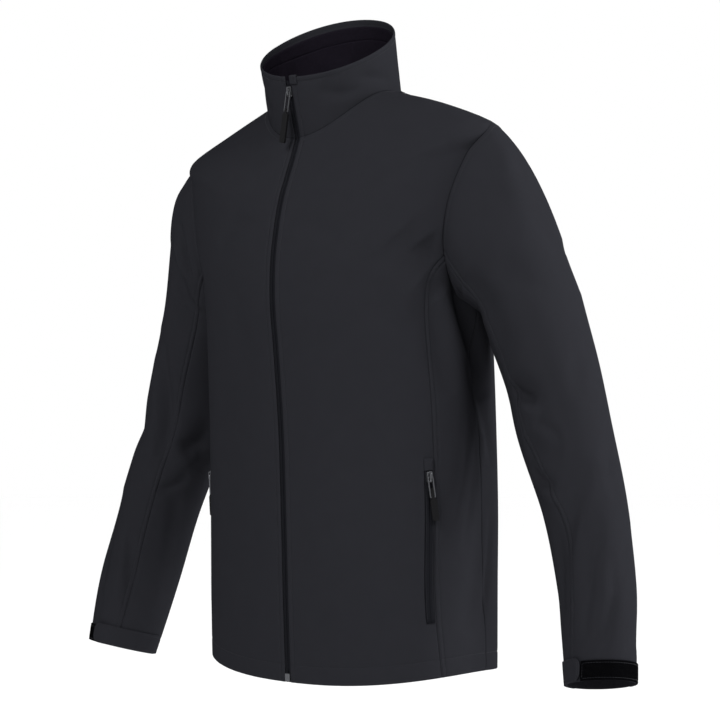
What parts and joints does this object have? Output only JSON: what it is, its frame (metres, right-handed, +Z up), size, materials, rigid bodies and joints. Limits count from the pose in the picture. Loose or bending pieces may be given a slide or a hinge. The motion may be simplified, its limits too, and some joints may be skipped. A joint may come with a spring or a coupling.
{
  "type": "softshell jacket",
  "caption": "Long-sleeved softshell jacket with a stand collar, a closed front zip, side hand pockets and tabbed cuffs, filled out as if worn, hollow inside.",
  "frame": {"origin": "middle of the neck, level with the neck ends of the shoulder seams, where the wearer's shoulders carry it", "axes": "+Z up, the front faces -Y, the wearer's left is +X"},
  "size_m": [0.8146, 0.2852, 0.8121],
  "materials": {
    "shell_cloth": "matte smooth woven softshell",
    "lining_cloth": "matt soft knit",
    "zip_tape": "woven tape, matt",
    "zip_coil": "satin nylon",
    "grey_metal": "satin grey plating",
    "puller_rubber": "moulded, satin",
    "loop_tape": "matt loop pile"
  },
  "bodies": {
    "garment": {"back": "shell_cloth", "collar": "shell_cloth", "chin_guard": "shell_cloth", "front_left": "shell_cloth", "side_left": "shell_cloth", "sleeve_upper_left": "shell_cloth", "sleeve_under_left": "shell_cloth", "pocket_garage_left": "shell_cloth", "cuff_tab_left": "shell_cloth", "front_right": "shell_cloth", "side_right": "shell_cloth", "sleeve_upper_right": "shell_cloth", "sleeve_under_right": "shell_cloth", "pocket_garage_right": "shell_cloth", "cuff_tab_right": "shell_cloth", "collar_lining": "lining_cloth", "zip_tape_left": "zip_tape", "pocket_zip_left": "zip_tape", "pocket_left_slider": "grey_metal", "cuff_loop_left": "loop_tape", "zip_tape_right": "zip_tape", "pocket_zip_right": "zip_tape", "pocket_right_slider": "grey_metal", "cuff_loop_right": "loop_tape", "zip_coil": "zip_coil", "zip_slider": "grey_metal", "zip_box": "grey_metal"},
    "main_pull": {"zip_pull": "grey_metal", "zip_puller": "puller_rubber"},
    "left_pocket_pull": {"pocket_left_pull": "grey_metal", "pocket_left_puller": "puller_rubber"},
    "right_pocket_pull": {"pocket_right_pull": "grey_metal", "pocket_right_puller": "puller_rubber"}
  },
  "joints": [
    {"name": "main_pull_swing", "type": "hinge", "parent": "garment", "child": "main_pull", "pos_m": [0.00008, -0.08169, 0.0004], "axis": [-0.9996, 0.0281, 0], "range_deg": [0, 150]},
    {"name": "left_pocket_pull_swing", "type": "hinge", "parent": "garment", "child": "left_pocket_pull", "pos_m": [0.17148, -0.03336, -0.45599], "axis": [-0.5939, -0.8046, 0], "range_deg": [0, 150]},
    {"name": "right_pocket_pull_swing", "type": "hinge", "parent": "garment", "child": "right_pocket_pull", "pos_m": [-0.18087, -0.01668, -0.4555], "axis": [-0.351, 0.9364, 0], "range_deg": [0, 150]}
  ]
}
